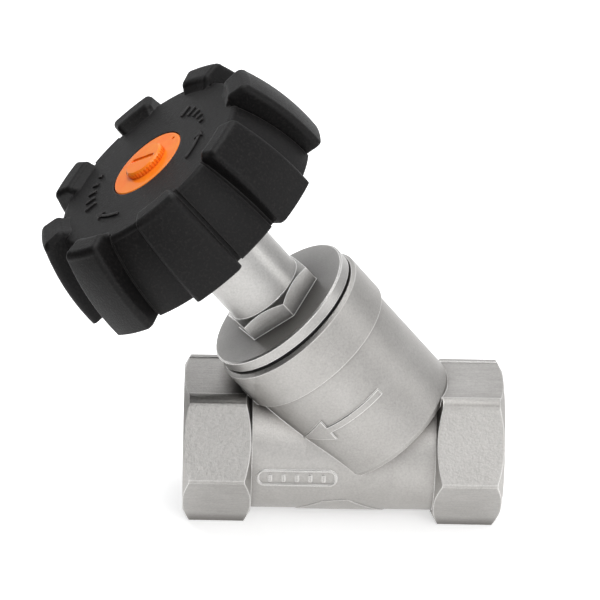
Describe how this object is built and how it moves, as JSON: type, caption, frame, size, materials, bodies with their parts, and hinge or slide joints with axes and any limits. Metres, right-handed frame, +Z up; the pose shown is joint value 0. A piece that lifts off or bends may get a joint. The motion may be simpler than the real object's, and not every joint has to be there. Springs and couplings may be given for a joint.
{
  "type": "manual angle seat valve",
  "caption": "Hand-operated stainless angle seat valve with female threaded hexagon ends, a slanted screwed bonnet and a lobed handwheel.",
  "frame": {"origin": "centre of the inlet port's end face, on the pipe axis", "axes": "+X points out of the inlet along the pipe axis, +Z up; the stem leans back over the outlet in the XZ plane"},
  "size_m": [0.1729, 0.1092, 0.178],
  "materials": {
    "stainless_cast": "fine bead-blasted cast stainless steel",
    "stainless_turned": "satin turned stainless steel",
    "gasket_graphite": "matte dark graphite sheet",
    "carbon_ptfe": "dark filled PTFE",
    "spring_steel": "bright drawn wire",
    "brass": "machined brass",
    "bronze": "machined bronze",
    "black_rubber": "matte black rubber",
    "dark_steel": "blackened steel",
    "ptfe": "white PTFE, slightly waxy",
    "black_plastic": "fine-grained glass-filled black nylon",
    "zinc_steel": "bright zinc-plated steel",
    "orange_plastic": "glossy orange plastic"
  },
  "bodies": {
    "valve": {"valve_body": "stainless_cast", "bonnet": "stainless_turned", "bonnet_gasket": "gasket_graphite", "guide_bush": "carbon_ptfe", "packing_support_ring": "stainless_turned", "packing_spring": "spring_steel", "spring_plate": "stainless_turned", "packing_bottom_adapter": "ptfe", "packing_ring_1": "ptfe", "packing_ring_2": "ptfe", "packing_ring_3": "ptfe", "packing_ring_4": "ptfe", "packing_ring_5": "ptfe", "packing_top_adapter": "ptfe", "packing_gland": "brass", "spindle_nut": "bronze", "wiper_ring": "black_rubber", "nut_lock_screw": "dark_steel"},
    "plug_group": {"plug": "stainless_turned", "seat_seal": "ptfe", "seal_washer": "stainless_turned", "seal_nut": "stainless_turned", "seal_nut_pin": "spring_steel", "plug_retainer": "stainless_turned", "retainer_lock_screw": "dark_steel"},
    "spindle_group": {"spindle": "stainless_turned", "handwheel": "black_plastic", "wheel_insert": "zinc_steel", "wheel_washer": "zinc_steel", "wheel_nut": "zinc_steel", "cover_disc": "orange_plastic", "knurled_cap": "orange_plastic"}
  },
  "joints": [
    {"name": "plug_lift", "type": "slide", "parent": "valve", "child": "plug_group", "axis": [-0.6428, 0, 0.766], "range_m": [0, 0.015]},
    {"name": "wheel_turn", "type": "hinge", "parent": "plug_group", "child": "spindle_group", "pos_m": [-0.0357, 0, 0], "axis": [-0.6428, 0, 0.766], "range_deg": [0, 1800]}
  ],
  "couplings": [
    {"joint": "plug_lift", "follows": "wheel_turn", "m_per_rad": 0.00047746}
  ]
}
